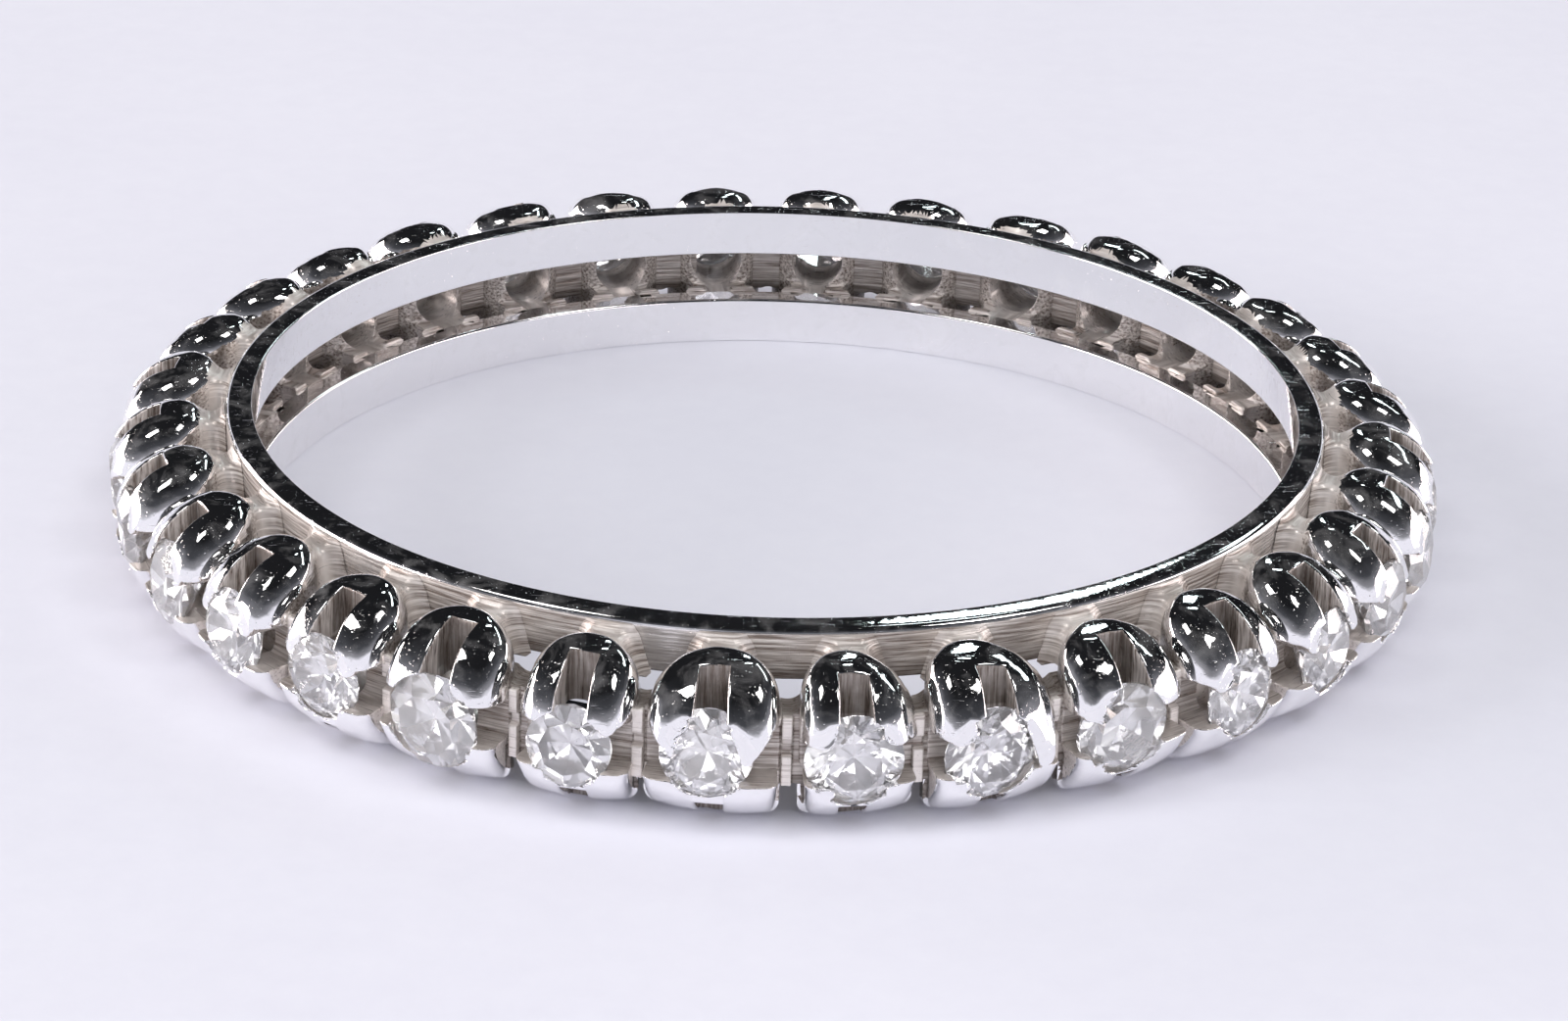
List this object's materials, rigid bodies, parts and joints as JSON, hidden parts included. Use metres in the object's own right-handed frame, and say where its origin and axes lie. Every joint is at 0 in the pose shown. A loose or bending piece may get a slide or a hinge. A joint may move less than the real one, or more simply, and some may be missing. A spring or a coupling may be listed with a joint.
{
  "type": "diamond eternity ring",
  "caption": "Full eternity ring lying on its side: small round stones, each under four claws in an arched collet, on two inner rails with an open gallery between them.",
  "frame": {"origin": "centre of the finger hole, on the plane that the ring's side rests on", "axes": "+Z along the finger hole, up as the ring lies on its side; -Y towards the side seen in front; +X to the viewer's right"},
  "size_m": [0.0218, 0.0218, 0.0025],
  "materials": {
    "white_gold": "polished white gold, with matte tool-cut slots and hollows",
    "diamond": "clear faceted stone"
  },
  "bodies": {
    "root": {"setting": "white_gold", "stone_01": "diamond", "stone_02": "diamond", "stone_03": "diamond", "stone_04": "diamond", "stone_05": "diamond", "stone_06": "diamond", "stone_07": "diamond", "stone_08": "diamond", "stone_09": "diamond", "stone_10": "diamond", "stone_11": "diamond", "stone_12": "diamond", "stone_13": "diamond", "stone_14": "diamond", "stone_15": "diamond", "stone_16": "diamond", "stone_17": "diamond", "stone_18": "diamond", "stone_19": "diamond", "stone_20": "diamond", "stone_21": "diamond", "stone_22": "diamond", "stone_23": "diamond", "stone_24": "diamond", "stone_25": "diamond", "stone_26": "diamond", "stone_27": "diamond", "stone_28": "diamond", "stone_29": "diamond", "stone_30": "diamond", "stone_31": "diamond", "stone_32": "diamond"}
  },
  "joints": []
}
